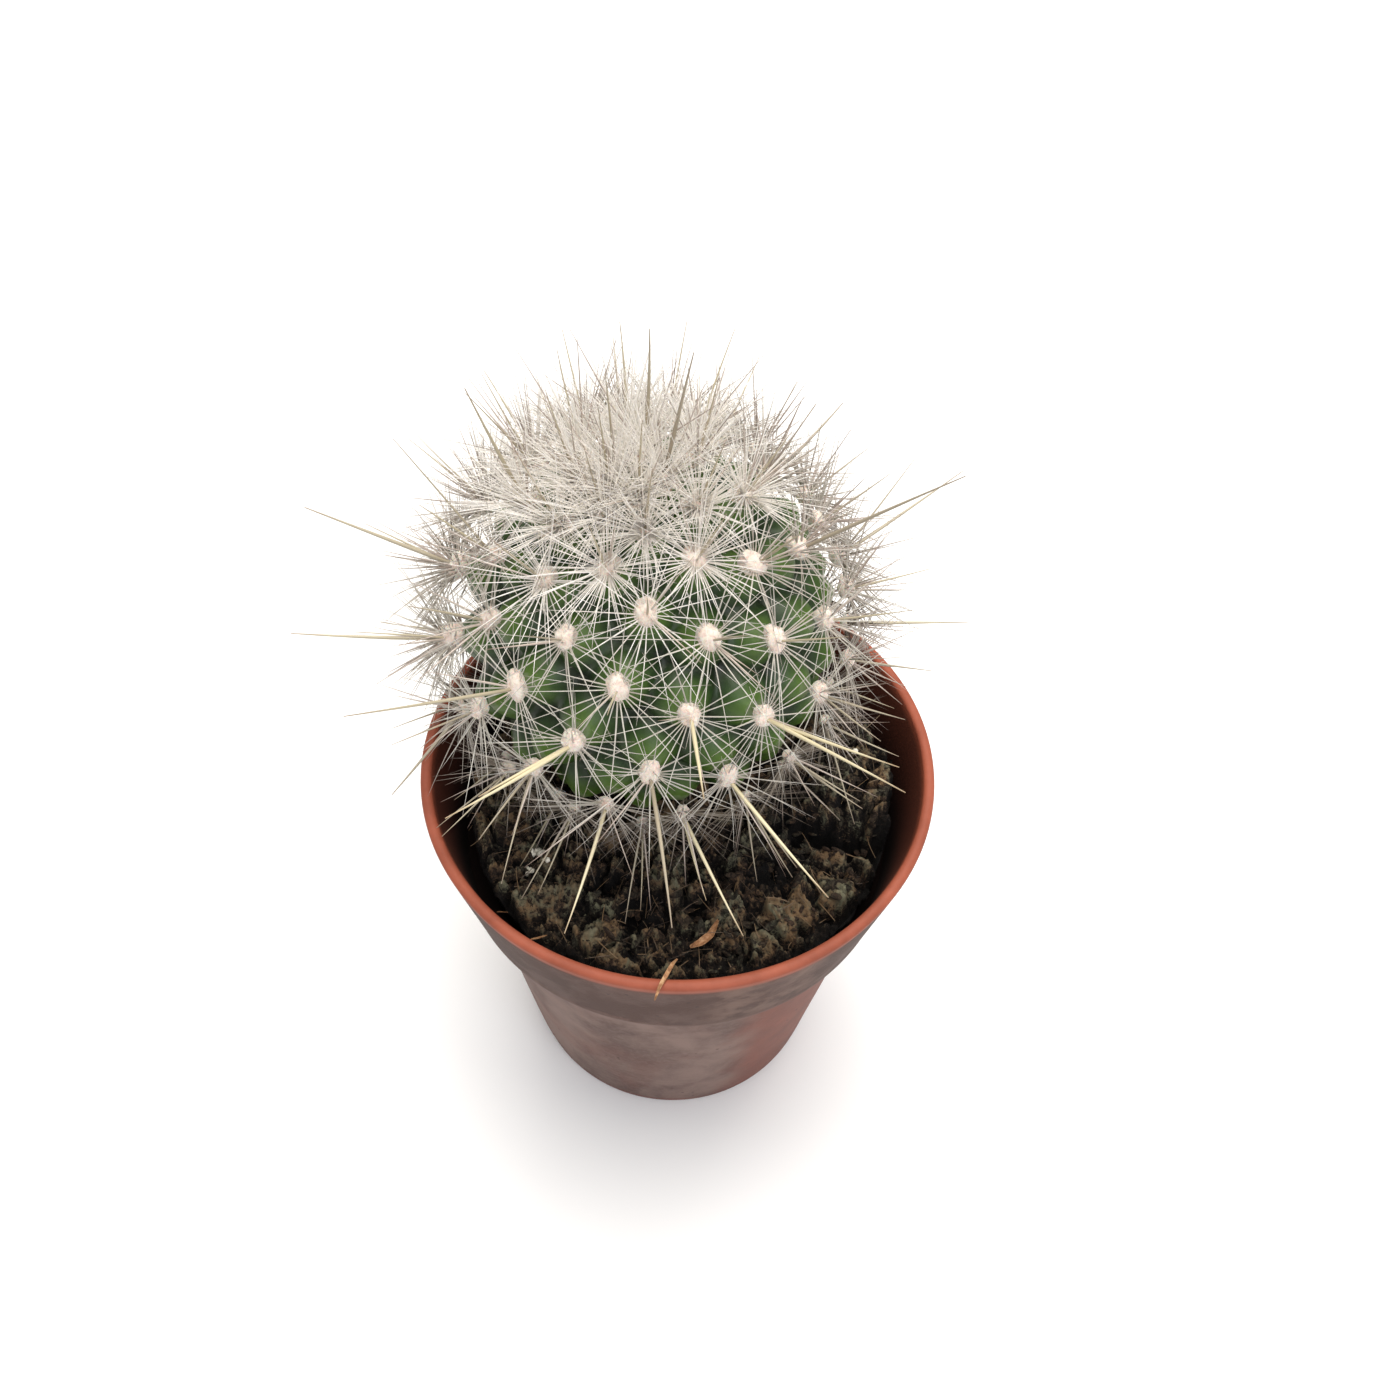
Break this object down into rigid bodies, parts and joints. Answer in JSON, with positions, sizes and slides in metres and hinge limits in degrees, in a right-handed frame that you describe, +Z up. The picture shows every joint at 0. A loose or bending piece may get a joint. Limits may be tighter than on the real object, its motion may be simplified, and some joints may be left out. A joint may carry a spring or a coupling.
{
  "type": "potted round cactus",
  "caption": "White-spined globe cactus in a small tapered terracotta-coloured plastic pot with a collared rim and crumbly soil.",
  "frame": {"origin": "centre of the pot's flat underside, on the pot's axis", "axes": "+Z up along the pot's axis; the front of the pot faces -Y; the plant leans to the left (-X)"},
  "size_m": [0.0673, 0.0666, 0.0978],
  "materials": {
    "terracotta_plastic": "injection moulded, slightly glossy on the lip, dusty on the wall",
    "potting_soil": "dry peat compost, matt, crumbly",
    "cactus_skin": "living green skin, satin",
    "spine_white": "translucent white spines on cream wool",
    "spine_straw": "straw-coloured central spines on cream wool",
    "old_spine": "dried greyish old spines",
    "perlite": "puffed mineral grains, matt",
    "dry_husk": "dried plant husk and straw"
  },
  "bodies": {
    "root": {"areole_22_spines": "spine_straw", "areole_23_spines": "spine_white", "areole_24_spines": "spine_white", "areole_25_spines": "spine_white", "areole_26_spines": "spine_white", "areole_27_spines": "spine_white", "areole_28_spines": "spine_white", "areole_29_spines": "spine_white", "areole_30_spines": "spine_white", "areole_31_spines": "spine_straw", "areole_32_spines": "spine_white", "areole_33_spines": "spine_white", "areole_34_spines": "spine_white", "areole_35_spines": "spine_straw", "areole_36_spines": "spine_white", "areole_37_spines": "spine_white", "areole_38_spines": "spine_straw", "areole_39_spines": "spine_white", "areole_40_spines": "spine_white", "areole_41_spines": "spine_white", "areole_42_spines": "spine_white", "areole_43_spines": "spine_straw", "areole_44_spines": "spine_white", "areole_45_spines": "spine_white", "areole_46_spines": "spine_straw", "areole_47_spines": "spine_white", "areole_48_spines": "spine_straw", "areole_49_spines": "spine_straw", "areole_50_spines": "spine_white", "areole_51_spines": "spine_straw", "areole_52_spines": "spine_white", "areole_53_spines": "spine_white", "areole_54_spines": "spine_straw", "areole_55_spines": "spine_white", "areole_56_spines": "spine_straw", "areole_57_spines": "spine_white", "areole_58_spines": "spine_white", "areole_59_spines": "spine_white", "areole_60_spines": "spine_straw", "areole_61_spines": "spine_white", "areole_62_spines": "spine_straw", "areole_63_spines": "spine_white", "areole_64_spines": "spine_straw", "areole_65_spines": "spine_white", "areole_66_spines": "spine_white", "areole_67_spines": "spine_straw", "areole_68_spines": "spine_white", "areole_69_spines": "spine_white", "cactus_stem": "cactus_skin", "crown_wool_and_young_spines": "spine_white", "dry_husk_leaf": "dry_husk", "old_spine_wreath": "old_spine", "perlite_grain_1": "perlite", "perlite_grain_2": "perlite", "pot": "terracotta_plastic", "soil": "potting_soil", "straw_over_rim": "dry_husk"}
  },
  "joints": []
}
